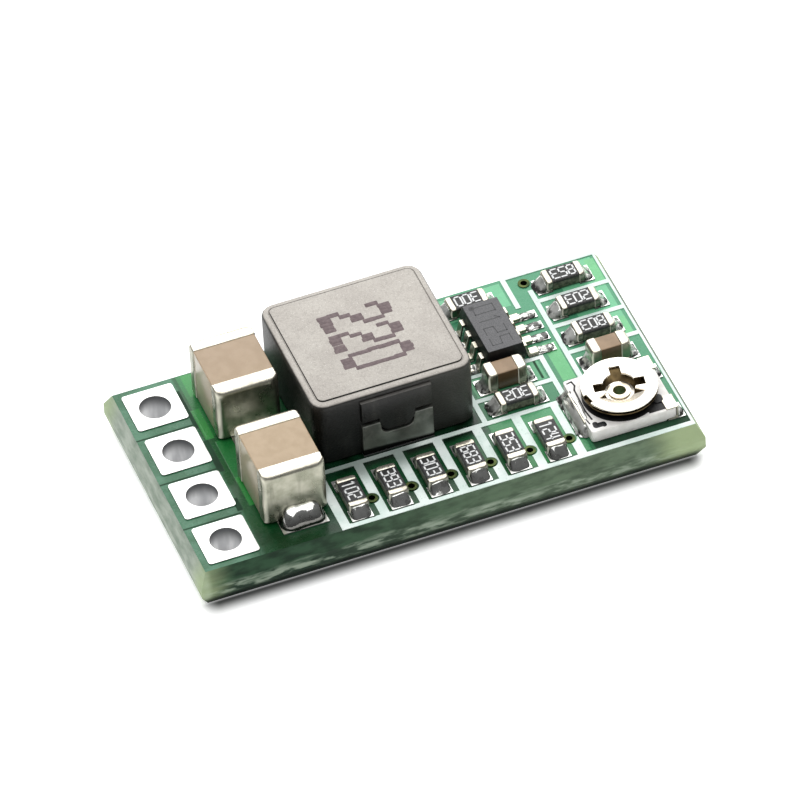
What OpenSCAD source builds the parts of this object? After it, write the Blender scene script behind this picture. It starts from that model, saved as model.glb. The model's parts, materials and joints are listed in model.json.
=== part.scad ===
// Step-down converter module: a scored circuit board with four plated holes,
// a power inductor, four ceramic capacitors, eleven chip resistors, a
// switching regulator and a one-turn trimmer whose rotor turns.
// Millimetres. The origin is on the underside, at the middle of the board.
// +X runs from the plated holes to the trimmer, +Y to the back, +Z up.

/* [Board] */
// Thickness of the board with its solder mask
board_t = 1.6; // [1.2:0.1:2]
// Width of the bevel that scoring leaves along each edge
score_in = 0.28; // [0.1:0.02:0.4]
// Thickness of the snapped web between the two bevels
web_t = 0.5; // [0.3:0.05:0.8]
// Thickness of a tinned copper pad
pad_t = 0.05; // [0.03:0.01:0.08]
// Thickness of the plating in a hole
plating_t = 0.03; // [0.02:0.01:0.05]
// Bare strip between a solder fillet and the side of its part or land
solder_in = 0.02; // [0:0.01:0.06]
// Radius at the corners of a pad
pad_round = 0.12; // [0.05:0.01:0.2]

/* [Plated holes] */
// Distance from hole to hole
terminal_pitch = 2.54; // [2.4:0.02:3]
// Side of the square pad around a hole
terminal_pad = 2; // [1.7:0.05:2.2]
// Diameter of the finished hole
terminal_bore = 1.22; // [0.9:0.02:1.3]
// Bare strip between the pads and the edge of the top face
terminal_edge = 0.26; // [0.15:0.01:0.5]

/* [White print] */
// Thickness of the ink
print_t = 0.03; // [0.02:0.01:0.05]
// Width of a frame line
print_w = 0.2; // [0.12:0.01:0.3]
// Width of the lines between the setting resistors
row_print_w = 0.36; // [0.2:0.02:0.4]
// Width of the lines along the right and back edges
edge_print_w = 0.1; // [0.08:0.01:0.2]
// Bare gap between the ink and a pad
print_gap = 0.05; // [0.03:0.01:0.1]

/* [Vias] */
// Diameter of a via's hole
via_bore = 0.26; // [0.2:0.02:0.3]
// Diameter of a via's ring
via_ring = 0.46; // [0.42:0.01:0.5]
// Gap from a setting resistor's land to its via
via_gap = 0.02; // [0.01:0.005:0.04]
// Distance from a setting resistor's centre to its via, towards the front
via_front = 0.24; // [0.1:0.02:0.5]
// Gap from the corner via to the land beside it
corner_gap = 0.05; // [0.03:0.01:0.1]
// Distance from the corner via's centre to the back edge of the top face
corner_back = 0.55; // [0.5:0.01:0.8]

/* [Large capacitors] */
// Length over the end bands
cap_l = 3.2; // [2.8:0.05:3.4]
// Width
cap_w = 2.5; // [2.2:0.05:2.7]
// Height
cap_h = 2.45; // [1.6:0.05:2.7]
// Length of an end band
cap_band = 0.5; // [0.3:0.05:0.8]
// Thickness of the end metal
cap_skin = 0.05; // [0.03:0.01:0.08]
// Rounding of the end metal
cap_round = 0.18; // [0.1:0.01:0.3]
// Gap from the plated pads to the capacitors
cap_gap_x = 0.57; // [0.3:0.01:1]
// Distance from the edge of the top face to the front capacitor
cap_front = 1.23; // [0.8:0.01:1.6]
// Gap between the two capacitors
cap_gap_y = 1.67; // [1.5:0.01:2.2]
// Length of the soldered land in front of a capacitor
cap_foot = 0.6; // [0.3:0.05:0.7]
// Width of that land
cap_land_w = 1.8; // [1.4:0.05:2.2]
// Distance of that land from the capacitor's middle, to the right
cap_land_shift = 0.14; // [0:0.01:0.2]
// Height of the solder on the end of a capacitor
cap_rise = 0.75; // [0.3:0.05:1.2]

/* [Small capacitors] */
// Length over the end bands
mlcc_l = 1.6; // [1.4:0.05:1.8]
// Width
mlcc_w = 0.8; // [0.6:0.05:0.9]
// Height
mlcc_h = 0.85; // [0.5:0.05:1]
// Length of an end band
mlcc_band = 0.36; // [0.2:0.02:0.5]
// Thickness of the end metal
mlcc_skin = 0.03; // [0.02:0.01:0.05]
// Rounding of the end metal
mlcc_round = 0.1; // [0.05:0.01:0.15]

/* [Chip resistors] */
// Length over the end bands
chip_l = 1.6; // [1.4:0.05:1.8]
// Width
chip_w = 0.8; // [0.6:0.05:0.9]
// Height
chip_h = 0.45; // [0.3:0.05:0.6]
// Length of an end band
chip_band = 0.26; // [0.15:0.01:0.4]
// Thickness of the end metal
chip_skin = 0.03; // [0.02:0.01:0.05]
// Length of the soldered land at the end of a small chip
chip_foot = 0.34; // [0.2:0.02:0.4]
// Height of the solder on the end of a small chip
chip_rise = 0.36; // [0.15:0.02:0.36]

/* [Row of setting resistors] */
// Distance from resistor to resistor
row_pitch = 1.57; // [1.56:0.01:1.7]
// Depth of the printed frame around the row
row_depth = 3.2; // [2.95:0.05:3.6]
// Distance from the edge of the top face to the middle of a resistor
row_middle = 1.37; // [1.3:0.01:1.5]
// Gap from the large capacitors to the middle of the first frame line
row_gap = 0.24; // [0.2:0.01:0.5]
// Distance from a frame line to the middle of its resistor
row_side = 0.73; // [0.66:0.01:0.76]

/* [Inductor] */
// Length along the board
ind_l = 6.35; // [5.5:0.05:7]
// Depth over its two straps
ind_w = 6.35; // [5.6:0.05:7]
// Height
ind_h = 2.95; // [2.6:0.05:3.4]
// Rounding of its upright corners
ind_round = 0.5; // [0.2:0.05:0.9]
// Width of the lower rim around its top
ind_rim = 0.3; // [0.15:0.05:0.5]
// Depth of that rim below the top
ind_step = 0.05; // [0.02:0.01:0.1]
// Gap from the large capacitors to the inductor
ind_gap_x = 0.4; // [0.3:0.01:1]
// Gap from the printed row frame to the inductor
ind_gap_y = 0.1; // [0.05:0.01:0.5]
// Bare strip behind the inductor
ind_back = 0.51; // [0.3:0.01:1]

/* [Inductor straps] */
// Width of a strap
strap_w = 2.8; // [2:0.1:3.4]
// Thickness of a strap
strap_t = 0.15; // [0.1:0.01:0.2]
// Height at which the strap enters the core
strap_h = 1.45; // [1.2:0.05:1.9]
// Width of the notch in the middle of a strap
notch_w = 1.3; // [0.6:0.05:1.6]
// Depth of the notch
notch_d = 0.6; // [0.4:0.02:0.8]
// Length of the strap inside the core
strap_in = 0.7; // [0.5:0.05:0.75]
// Length over which the strap's two legs are joined inside the core
strap_join = 0.28; // [0.2:0.02:0.36]
// Drop from the core's top to the boss above a strap
boss_drop = 0.3; // [0.2:0.05:0.8]
// Length of the strap under the core
strap_foot = 1.2; // [0.8:0.05:1.6]

/* [Inductor coil] */
// Diameter of the wire
wire_d = 0.4; // [0.39:0.005:0.42]
// Turns in each layer
coil_turns = 4; // [3:1:4]
// Radius to the middle of the inner layer
coil_r = 1.3; // [1:0.05:1.35]
// Gap between the wire and the moulded core
coil_gap = 0.02; // [0.01:0.01:0.04]
// Distance from turn to turn, where the round wires press into each other
coil_pitch = 0.384; // [0.38:0.002:0.39]

/* [Regulator] */
// Width of the moulded body, along X
ic_w = 1.6; // [1.4:0.05:1.8]
// Length of the moulded body, along Y
ic_l = 2.9; // [2.7:0.05:3.1]
// Height of the top above the pads
ic_h = 1.05; // [0.85:0.05:1.2]
// Gap under the moulded body
ic_lift = 0.08; // [0.04:0.01:0.1]
// Inset of the top and the bottom from the body's sides
ic_inset = 0.1; // [0.05:0.01:0.15]
// Width over the leads
ic_span = 2.8; // [2.7:0.05:3]
// Distance from lead to lead
ic_pitch = 0.65; // [0.6:0.01:0.68]
// Width of a lead
ic_lead_w = 0.34; // [0.25:0.01:0.38]
// Thickness of a lead
ic_lead_t = 0.13; // [0.1:0.01:0.16]
// Length of a lead's foot
ic_foot = 0.36; // [0.3:0.02:0.4]
// Length of the solder in front of a lead's foot
ic_toe = 0.12; // [0.08:0.01:0.16]
// Length of a lead inside the body
ic_lead_in = 0.5; // [0.4:0.02:0.55]
// Side of the silicon die along X
die_w = 0.9; // [0.8:0.05:1.1]
// Side of the silicon die along Y
die_l = 1.7; // [1.4:0.05:2]
// Thickness of the silicon die
die_t = 0.15; // [0.1:0.01:0.2]
// Gap from the inductor to the leads
ic_gap_x = 0.61; // [0.5:0.01:1]
// Length of the output-side lands beyond the leads
ic_land_out = 0.7; // [0.3:0.05:0.75]
// Gap from the row frame to the resistor in front of the regulator
mid_gap_row = 0.12; // [0.1:0.01:0.4]
// Gap from that resistor to the small capacitor
mid_gap_chip = 0.42; // [0.36:0.01:0.6]
// Gap from the small capacitor to the regulator
mid_gap_ic = 0.14; // [0.08:0.01:0.4]
// Gap from the regulator to the resistor behind it
mid_gap_back = 0.44; // [0.2:0.01:0.6]
// Distance of the front chips from the regulator's centre line
mid_shift = 0.32; // [0.1:0.01:0.4]
// Distance of the rear chip from the regulator's centre line
back_shift = 0.17; // [0.1:0.01:0.4]

/* [Right column] */
// Gap from the regulator's leads to the column's chips
right_gap = 1.5; // [1.3:0.01:2]
// Gap from the trimmer to the small capacitor
right_gap_trim = 0.65; // [0.5:0.01:1]
// Distance from chip to chip
right_pitch = 1.53; // [1.4:0.01:1.7]
// Bare strip to the right of the trimmer
right_edge = 0.5; // [0.42:0.01:1]

/* [Trimmer base] */
// Length of the ceramic base
trim_l = 3.4; // [3.2:0.05:3.8]
// Depth of the ceramic base
trim_w = 2.98; // [2.96:0.02:3.4]
// Thickness of the ceramic base
trim_t = 0.5; // [0.4:0.02:0.7]
// Distance from the edge of the top face to the trimmer
trim_front = 0.55; // [0.4:0.01:0.8]
// Gap from the row frame to the trimmer
trim_gap = 0.36; // [0.3:0.01:0.6]
// Thickness of the resistive track
track_t = 0.02; // [0.01:0.01:0.03]
// Inner radius of the track
track_in = 0.95; // [0.8:0.01:1]
// Outer radius of the track
track_out = 1.44; // [1.35:0.01:1.46]
// Width of the track's opening
track_open = 0.95; // [0.6:0.05:1.2]
// Thickness of the terminal metal
clip_t = 0.06; // [0.04:0.01:0.08]
// Width of an end terminal
clip_w = 0.72; // [0.5:0.02:0.8]
// Length of an end terminal over the base
clip_l = 0.42; // [0.3:0.02:0.45]
// Width of the track's tail that runs to an end terminal
track_tail = 0.5; // [0.3:0.02:0.6]
// Height of the solder on an end terminal
clip_rise = 0.35; // [0.2:0.01:0.45]
// Width of the wiper's terminal
tail_w = 1.7; // [1.2:0.05:1.9]
// Height of the solder on the wiper's terminal
tail_rise = 0.45; // [0.2:0.01:0.5]

/* [Trimmer rotor] */
// Diameter of the rotor
rotor_d = 2.9; // [2.7:0.02:2.94]
// Height of the rotor's top above the pads
rotor_h = 1.05; // [1:0.01:1.3]
// Thickness of the driver plate
driver_t = 0.08; // [0.05:0.01:0.1]
// Thickness of the wiper plate
wiper_t = 0.06; // [0.04:0.01:0.07]
// Open gap between the driver plate and the wiper's ring
plate_gap = 0.08; // [0.05:0.01:0.1]
// Diameter of the rotor's hub
hub_d = 1.24; // [1.1:0.02:1.3]
// Radius of the opening between the driver's slots
opening_r = 0.62; // [0.55:0.01:0.7]
// Width of a driver slot
slot_w = 0.42; // [0.3:0.01:0.5]
// Reach of a driver slot from the axis
slot_r = 0.98; // [0.85:0.01:1.1]
// Turn of the slots at rest, in degrees
slot_turn = -9.5; // [-20:0.5:20]
// Depth of the notch in the rotor's rim
rim_notch_d = 0.14; // [0.08:0.01:0.2]
// Width of the notch in the rotor's rim
rim_notch_w = 0.52; // [0.3:0.02:0.7]
// Turn of the notch from the slots, in degrees
rim_notch_turn = 202; // [190:1:215]
// Half of the angle over which the front of the driver is dished
tongue_a = 60; // [55:1:70]
// Width of the wiper's contact
contact_w = 0.18; // [0.12:0.02:0.24]
// Diameter of the eyelet's hole
eyelet_bore = 0.5; // [0.4:0.02:0.54]
// Wall of the eyelet
eyelet_wall = 0.07; // [0.05:0.01:0.08]
// Diameter of the eyelet's flange
eyelet_d = 0.84; // [0.8:0.02:0.9]
// Running clearance around the eyelet
run_gap = 0.02; // [0.02:0.005:0.03]

/* [Jumper pads] */
// Size of a jumper pad along Y
jumper_l = 0.8; // [0.5:0.05:0.9]
// Size of a jumper pad along X
jumper_w = 1; // [0.6:0.05:1.1]
// Gap between the two pads of a pair
jumper_gap = 0.2; // [0.15:0.01:0.3]
// Distance from the edge of the top face to the pads
jumper_front = 1.8; // [1.75:0.05:2.4]

/* [Hidden] */
$fn = 48;
row_n = 6;
mid_resistors = 2;
right_resistors = 3;
resistor_n = row_n + mid_resistors + right_resistors;
terminal_n = 4;

// Places along X, from the left edge of the top face
terminal_x = terminal_edge + terminal_pad / 2;
cap_x = terminal_edge + terminal_pad + cap_gap_x + cap_w / 2;
ind_x = cap_x + cap_w / 2 + ind_gap_x + ind_l / 2;
ic_x = ind_x + ind_l / 2 + ic_gap_x + ic_span / 2;
mid_x = ic_x - mid_shift;
right_x = ic_x + ic_span / 2 + right_gap + chip_l / 2;
row_x0 = cap_x + cap_w / 2 + row_gap;
row_x1 = row_x0 + row_n * row_pitch;
trim_x = row_x1 + row_print_w / 2 + trim_gap + trim_l / 2;
top_l = max(trim_x + trim_l / 2, right_x + chip_l / 2) + right_edge;

// Places along Y, from the front edge of the top face
terminal_y = terminal_edge + terminal_pad / 2;
cap_y1 = cap_front + cap_l / 2;
cap_y2 = cap_y1 + cap_l + cap_gap_y;
ind_y = row_depth + ind_gap_y + ind_w / 2;
mid_y1 = row_depth + mid_gap_row + chip_w / 2;
mid_y2 = mid_y1 + chip_w / 2 + mid_gap_chip + mlcc_w / 2;
ic_y = mid_y2 + mlcc_w / 2 + mid_gap_ic + ic_l / 2;
mid_y3 = ic_y + ic_l / 2 + mid_gap_back + chip_w / 2;
trim_y = trim_front + trim_w / 2;
right_y0 = trim_y + trim_w / 2 + right_gap_trim + mlcc_w / 2;
right_y3 = right_y0 + right_resistors * right_pitch;
chip_back = chip_w / 2 + print_w + 2 * print_gap;
top_w = max(
    terminal_y * 2 + (terminal_n - 1) * terminal_pitch,
    cap_y2 + cap_l / 2 + cap_foot + 2 * print_gap,
    ind_y + ind_w / 2 + ind_back,
    mid_y3 + chip_back,
    right_y3 + chip_back
);

board_l = top_l + 2 * score_in;
board_w = top_w + 2 * score_in;
seat_z = board_t + pad_t;

// [x, y, turn] of each chip
row_places = [for (i = [0:row_n - 1]) [row_x0 + row_side + i * row_pitch, row_middle, 90]];
mid_places = [[mid_x, mid_y1, 0], [ic_x - back_shift, mid_y3, 0]];
right_places = [for (i = [1:right_resistors]) [right_x, right_y0 + i * right_pitch, 0]];
resistor_places = concat(row_places, mid_places, right_places);
mlcc_places = [[mid_x, mid_y2, 0], [right_x, right_y0, 0]];
cap_places = [[cap_x, cap_y1, 90], [cap_x, cap_y2, 90]];
cap_land_places = [for (p = cap_places) [p[0] + cap_land_shift, p[1], p[2]]];
via_side = (chip_w + pad_t + via_ring) / 2 + via_gap;
row_vias = [for (p = row_places) [p[0] + via_side, p[1] - via_front]];
corner_via = [right_x - chip_l / 2 - chip_foot - via_ring / 2 - corner_gap, top_w - corner_back];
via_places = concat(row_vias, [corner_via]);

jumper_y = jumper_front + jumper_l + jumper_gap / 2;

// Places of the frame lines
column_x = right_x - chip_l / 2 - chip_foot - print_w;
column_y = trim_y + trim_w / 2 + print_w;
column_lines = [for (i = [0:right_resistors - 1]) right_y0 + (i + 0.55) * right_pitch];
mid_line = ic_x + ic_span / 2 + print_w;
box_x0 = ind_x + ind_l / 2 + print_w;
box_x1 = ic_x + ic_span / 2;
box_y1 = (mid_y1 + mid_y2) / 2;
box_y2 = mid_y2 + mlcc_w;

// Soldered ends of the regulator and the trimmer
trim_side = trim_l / 2 + clip_t;
tail_foot = trim_gap - print_gap;
clip_foot = chip_foot - clip_t;
clip_y = (trim_w - clip_w) / 2;

// Levels of the trimmer above the pads
wiper_z = trim_t + run_gap;
driver_z = wiper_z + wiper_t;
ring_z = rotor_h - driver_t - plate_gap - wiper_t;
flange_z = driver_z + driver_t + run_gap;
stem_r = eyelet_bore / 2 + eyelet_wall;
hub_bore_r = stem_r + run_gap;
bowl_r = (rotor_d / 2 + hub_d / 2) / 2 + plate_gap;
driver_hub_r = hub_d / 2 - wiper_t;

// ---------------------------------------------------------------- helpers

// Moves from the corner of the board's top face, z above the pads
module on_pads(p) {
    translate([p[0] - top_l / 2, p[1] - top_w / 2, seat_z]) rotate([0, 0, len(p) > 2 ? p[2] : 0]) children();
}

// The same, for flat shapes
module on_face(p) {
    translate([p[0] - top_l / 2, p[1] - top_w / 2]) rotate([0, 0, len(p) > 2 ? p[2] : 0]) children();
}

// Rectangle with round corners
module rounded_rect(l, w, r) {
    square([l - 2 * r, w], center = true);
    square([l, w - 2 * r], center = true);
    for (x = [-1, 1], y = [-1, 1])
        translate([x * (l / 2 - r), y * (w / 2 - r)]) circle(r);
}

// Block whose edges are all round, standing on z = 0
module rounded_block(l, w, h, r) {
    translate([0, 0, h / 2]) intersection() {
        linear_extrude(h, center = true) rounded_rect(l, w, r);
        rotate([90, 0, 0]) linear_extrude(w, center = true) rounded_rect(l, h, r);
        rotate([90, 0, 90]) linear_extrude(l, center = true) rounded_rect(w, h, r);
    }
}

// Side view of a block that is widest over a band at mid-height
function waist(l, h, inset, band) = [
    [-l / 2 + inset, 0], [l / 2 - inset, 0],
    [l / 2, (h - band) / 2], [l / 2, (h + band) / 2],
    [l / 2 - inset, h], [-l / 2 + inset, h],
    [-l / 2, (h + band) / 2], [-l / 2, (h - band) / 2]
];

// Block with such a waist on all four sides
module waisted_block(l, w, h, inset, band) {
    intersection() {
        rotate([90, 0, 0]) linear_extrude(w, center = true) polygon(waist(l, h, inset, band));
        rotate([90, 0, 90]) linear_extrude(l, center = true) polygon(waist(w, h, inset, band));
    }
}

// Solder that climbs from a land to an upright face at x = 0
module fillet(w, foot, rise) {
    lip = pad_t / 2;
    curve = [for (a = [0:15:90]) [foot * (1 - sin(a)), lip + (rise - lip) * (1 - cos(a))]];
    rotate([90, 0, 0]) linear_extrude(w, center = true) polygon(concat([[0, 0], [foot, 0]], curve));
}

// A fillet at both ends of a chip of length l
module fillet_pair(l, w, foot, rise) {
    for (turn = [0, 180]) rotate([0, 0, turn]) translate([l / 2, 0, 0]) fillet(w, foot, rise);
}

// Flat lands at both ends of a chip of length l
module land_pair(l, w, foot, under, grow) {
    for (s = [-1, 1])
        translate([s * (l / 2 + (foot - under) / 2), 0])
            square([foot + under + 2 * grow, w + 2 * grow], center = true);
}

// ------------------------------------------------------------------ board

module hole_outline(grow) {
    for (i = [0:terminal_n - 1])
        on_face([terminal_x, terminal_y + i * terminal_pitch]) circle(terminal_bore / 2 + grow);
    for (p = via_places) on_face(p) circle(via_bore / 2 + grow);
}

module wiring_board() {
    color("seagreen") difference() {
        waisted_block(board_l, board_w, board_t, score_in, web_t);
        translate([0, 0, -1]) linear_extrude(board_t + 2) hole_outline(plating_t);
        translate([0, 0, -1]) linear_extrude(1 + pad_t) underside_pads();
        translate([0, 0, -1]) linear_extrude(1 + print_t) underside_print();
    }
}

module underside_pads() {
    for (i = [0:terminal_n - 1])
        on_face([terminal_x, terminal_y + i * terminal_pitch])
            rounded_rect(terminal_pad, terminal_pad, pad_round);
    for (p = via_places) on_face(p) circle(via_ring / 2);
    jumper_outline(0);
}

module jumper_outline(grow) {
    for (p = row_places, s = [-1, 1])
        on_face([p[0], jumper_y + s * (jumper_l + jumper_gap) / 2])
            square([jumper_w + 2 * grow, jumper_l + 2 * grow], center = true);
}

module underside_print() {
    first = row_places[0][0];
    span = (row_n - 1) * row_pitch + jumper_w + 4 * print_gap;
    depth = 2 * jumper_l + jumper_gap + 4 * print_gap;
    on_face([first + (row_n - 1) * row_pitch / 2, jumper_y]) difference() {
        square([span + 2 * print_w, depth + 2 * print_w], center = true);
        square([span, depth], center = true);
    }
}

// A plated hole with its top pad and its flush underside pad
module terminal(i) {
    color("gainsboro") on_face([terminal_x, terminal_y + i * terminal_pitch]) difference() {
        union() {
            cylinder(r = terminal_bore / 2 + plating_t, h = seat_z);
            for (z = [0, board_t])
                translate([0, 0, z]) linear_extrude(pad_t) rounded_rect(terminal_pad, terminal_pad, pad_round);
        }
        translate([0, 0, -1]) cylinder(d = terminal_bore, h = seat_z + 2);
    }
}

module vias() {
    color("khaki") for (p = via_places) on_face(p) difference() {
        union() {
            cylinder(r = via_bore / 2 + plating_t, h = seat_z);
            for (z = [0, board_t]) translate([0, 0, z]) cylinder(d = via_ring, h = pad_t);
        }
        translate([0, 0, -1]) cylinder(d = via_bore, h = seat_z + 2);
    }
}

// Outline of every land on the top face, apart from the plated holes
module land_outline(grow) {
    for (p = resistor_places) on_face(p) land_pair(chip_l, chip_w + pad_t, chip_foot, chip_band, grow);
    for (p = mlcc_places) on_face(p) land_pair(mlcc_l, mlcc_w + pad_t, chip_foot, mlcc_band, grow);
    for (p = cap_land_places) on_face(p) land_pair(cap_l, cap_land_w, cap_foot, cap_band, grow);
    on_face([ind_x, ind_y, 90]) land_pair(ind_w, strap_w, 0, strap_foot, grow);
    for (i = [0:3]) on_face([ic_x, ic_y + (i - 1.5) * ic_pitch]) regulator_lands(grow);
    on_face([trim_x, trim_y]) trimmer_lands(grow);
}

// A flat land from x0 to x1, w wide
module land(x0, x1, w, grow) {
    translate([(x0 + x1) / 2, 0]) square([x1 - x0 + 2 * grow, w + 2 * grow], center = true);
}

module regulator_lands(grow) {
    heel = ic_span / 2 - ic_foot - pad_t;
    land(-ic_span / 2 - ic_toe, -heel, ic_lead_w + pad_t, grow);
    land(heel, ic_span / 2 + ic_land_out, ic_lead_w + pad_t, grow);
}

module trimmer_lands(grow) {
    land(-trim_side - tail_foot, -trim_side + clip_l, tail_w + pad_t, grow);
    for (s = [-1, 1]) translate([0, s * clip_y])
        land(trim_side - clip_l, trim_side + clip_foot, clip_w + pad_t, grow);
}

module lands() {
    color("silver") translate([0, 0, board_t]) linear_extrude(pad_t) land_outline(0);
}

module jumper_pads() {
    color("silver") linear_extrude(pad_t) jumper_outline(0);
}

// ------------------------------------------------------------ white print

// Lines of ink, w wide, between two places
module print_along(x0, x1, y, w) {
    on_face([(x0 + x1) / 2, y]) square([x1 - x0, w], center = true);
}

module print_across(x, y0, y1, w) {
    on_face([x, (y0 + y1) / 2]) square([w, y1 - y0], center = true);
}

module print_lines() {
    edge = top_l - edge_print_w / 2;
    back = top_w - edge_print_w / 2;
    // frame of the setting resistors, whose front line runs on to the right edge
    for (i = [0:row_n]) print_across(row_x0 + i * row_pitch, 0, row_depth, row_print_w);
    print_along(row_x0, top_l, print_w / 2, print_w);
    print_along(row_x0, row_x1, row_depth - print_w / 2, print_w);
    // frames of the right column
    print_across(edge, 0, top_w, edge_print_w);
    print_across(column_x, column_y, right_y3, print_w);
    for (y = column_lines) print_along(column_x, top_l, y, print_w);
    print_along(mid_line, top_l, back, edge_print_w);
    print_across(mid_line, mid_y3 - chip_w, top_w, print_w);
    // frames in front of the regulator
    print_across(box_x1, row_depth - print_w, box_y2, print_w);
    print_along(box_x0, box_x1 + print_w / 2, box_y2 - print_w / 2, print_w);
    print_along(box_x0, box_x1, box_y1, print_w);
    print_across(box_x0, row_depth - print_w, mid_y2, print_w);
}

module print_top() {
    color("white") translate([0, 0, board_t]) linear_extrude(print_t) difference() {
        print_lines();
        land_outline(print_gap);
        for (p = via_places) on_face(p) circle(via_ring / 2 + print_gap);
    }
}

module print_bottom() {
    color("white") linear_extrude(print_t) underside_print();
}

// --------------------------------------------------------------- inductor

core_w = ind_w - 2 * strap_t;
lead_z = strap_h - strap_t / 2;
boss_top = ind_h - boss_drop;

coil_low = (ind_h - (coil_turns - 1) * coil_pitch) / 2;

// The wound wire, two layers of it
module coil_shape() {
    rotate_extrude() {
        for (i = [0:coil_turns - 1], j = [0, 1])
            translate([coil_r + j * coil_pitch, coil_low + i * coil_pitch]) circle(wire_d / 2);
        translate([coil_r, coil_low]) square([coil_pitch, (coil_turns - 1) * coil_pitch]);
    }
    wire_ends(0);
}

// The two ends of the wire, which reach the straps
module wire_ends(grow) {
    for (turn = [0, 180]) rotate([0, 0, turn])
        translate([0, -core_w / 2 + strap_in - grow, lead_z]) rotate([-90, 0, 0])
            cylinder(r = strap_t / 2 + grow, h = core_w / 2 - strap_in - coil_r + grow);
}

// The space that the core leaves for the wire
module coil_space() {
    reach = wire_d / 2 + coil_gap;
    rotate_extrude() translate([coil_r - reach, coil_low - reach])
        square([coil_pitch + 2 * reach, (coil_turns - 1) * coil_pitch + 2 * reach]);
    wire_ends(coil_gap);
}

// One strap, whose outer face is at y = -ind_w / 2
module strap_shape() {
    difference() {
        translate([0, -ind_w / 2 + strap_t / 2, strap_h / 2]) cube([strap_w, strap_t, strap_h], center = true);
        translate([0, -ind_w / 2 - 1, strap_h]) rotate([-90, 0, 0]) linear_extrude(strap_t + 1) notch();
    }
    translate([-strap_w / 2, -core_w / 2, 0]) cube([strap_w, strap_foot - strap_t, strap_t]);
    for (s = [-1, 1])
        translate([s * (strap_w + notch_w) / 4, -core_w / 2 + strap_in / 2, lead_z])
            cube([(strap_w - notch_w) / 2, strap_in, strap_t], center = true);
    translate([0, -core_w / 2 + strap_in - strap_join / 2, lead_z])
        cube([strap_w, strap_join, strap_t], center = true);
}

// Notch with a round bottom, measured down from its mouth
module notch() {
    r = notch_w / 4;
    square([notch_w, 2 * (notch_d - r)], center = true);
    square([notch_w - 2 * r, 2 * notch_d], center = true);
    for (s = [-1, 1]) translate([s * (notch_w / 2 - r), notch_d - r]) circle(r);
}

module inductor_core() {
    color("dimgray") on_pads([ind_x, ind_y]) difference() {
        union() {
            linear_extrude(ind_h - ind_step) rounded_rect(ind_l, core_w, ind_round);
            linear_extrude(ind_h) rounded_rect(ind_l - 2 * ind_rim, core_w - 2 * ind_rim, ind_round - ind_rim / 2);
            translate([0, 0, (strap_h + boss_top) / 2]) cube([strap_w, ind_w, boss_top - strap_h], center = true);
        }
        coil_space();
        for (turn = [0, 180]) rotate([0, 0, turn]) strap_shape();
    }
}

module inductor_coil() {
    color("peru") on_pads([ind_x, ind_y]) coil_shape();
}

module inductor_strap(turn) {
    color("silver") on_pads([ind_x, ind_y, turn]) strap_shape();
}

// ------------------------------------------------------ ceramic capacitors

// Both end caps of a block of size s, or the block between them
module capacitor_ends(s, band, skin, r) {
    for (turn = [0, 180]) rotate([0, 0, turn]) intersection() {
        difference() {
            rounded_block(s[0], s[1], s[2], r);
            capacitor_body(s, skin, r);
        }
        translate([s[0] / 2 - band, -s[1], -s[2]]) cube([band + s[0], 2 * s[1], 3 * s[2]]);
    }
}

module capacitor_body(s, skin, r) {
    translate([0, 0, skin])
        rounded_block(s[0] - 2 * skin, s[1] - 2 * skin, s[2] - 2 * skin, r - skin);
}

cap_size = [cap_l, cap_w, cap_h];
mlcc_size = [mlcc_l, mlcc_w, mlcc_h];

module large_capacitor_body(i) {
    color("tan") on_pads(cap_places[i]) capacitor_body(cap_size, cap_skin, cap_round);
}

module large_capacitor_ends(i) {
    color("lightgray") on_pads(cap_places[i]) capacitor_ends(cap_size, cap_band, cap_skin, cap_round);
}

module small_capacitor_body(i) {
    color("rosybrown") on_pads(mlcc_places[i]) capacitor_body(mlcc_size, mlcc_skin, mlcc_round);
}

module small_capacitor_ends(i) {
    color("lightgray") on_pads(mlcc_places[i]) capacitor_ends(mlcc_size, mlcc_band, mlcc_skin, mlcc_round);
}

// --------------------------------------------------------- chip resistors

module resistor_body(i) {
    color("darkslategray") on_pads(resistor_places[i]) {
        translate([0, 0, chip_h / 2])
            cube([chip_l - 2 * chip_skin, chip_w, chip_h - 2 * chip_skin], center = true);
        translate([0, 0, chip_h - chip_skin])
            linear_extrude(chip_skin) square([chip_l - 2 * chip_band, chip_w], center = true);
    }
}

module resistor_ends(i) {
    color("silver") on_pads(resistor_places[i]) difference() {
        translate([0, 0, chip_h / 2]) cube([chip_l, chip_w, chip_h], center = true);
        translate([0, 0, chip_h / 2])
            cube([chip_l - 2 * chip_skin, chip_w + 1, chip_h - 2 * chip_skin], center = true);
        translate([0, 0, chip_h / 2]) cube([chip_l - 2 * chip_band, chip_w + 1, chip_h + 1], center = true);
    }
}

// -------------------------------------------------------------- regulator

ic_mid = ic_lift + (ic_h - ic_lift) / 2;

// Side view of a lead, its toe at x = ic_span / 2
function lead_side() = let (
    body_x = ic_w / 2 + ic_lead_t,
    heel = ic_span / 2 - ic_foot,
    top = ic_mid + ic_lead_t / 2
) [
    [ic_span / 2, 0], [ic_span / 2, ic_lead_t], [heel, ic_lead_t],
    [body_x, top], [ic_w / 2 - ic_lead_in, top], [ic_w / 2 - ic_lead_in, top - ic_lead_t],
    [body_x - ic_lead_t / 2, top - ic_lead_t], [heel - ic_lead_t / 2, 0]
];

module lead_shapes() {
    for (turn = [0, 180]) rotate([0, 0, turn]) for (i = [0:3])
        translate([0, (i - 1.5) * ic_pitch, 0]) rotate([90, 0, 0])
            linear_extrude(ic_lead_w, center = true) polygon(lead_side());
}

module die_shape() {
    translate([0, 0, ic_mid + ic_lead_t / 2 + die_t / 2]) cube([die_w, die_l, die_t], center = true);
}

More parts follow.
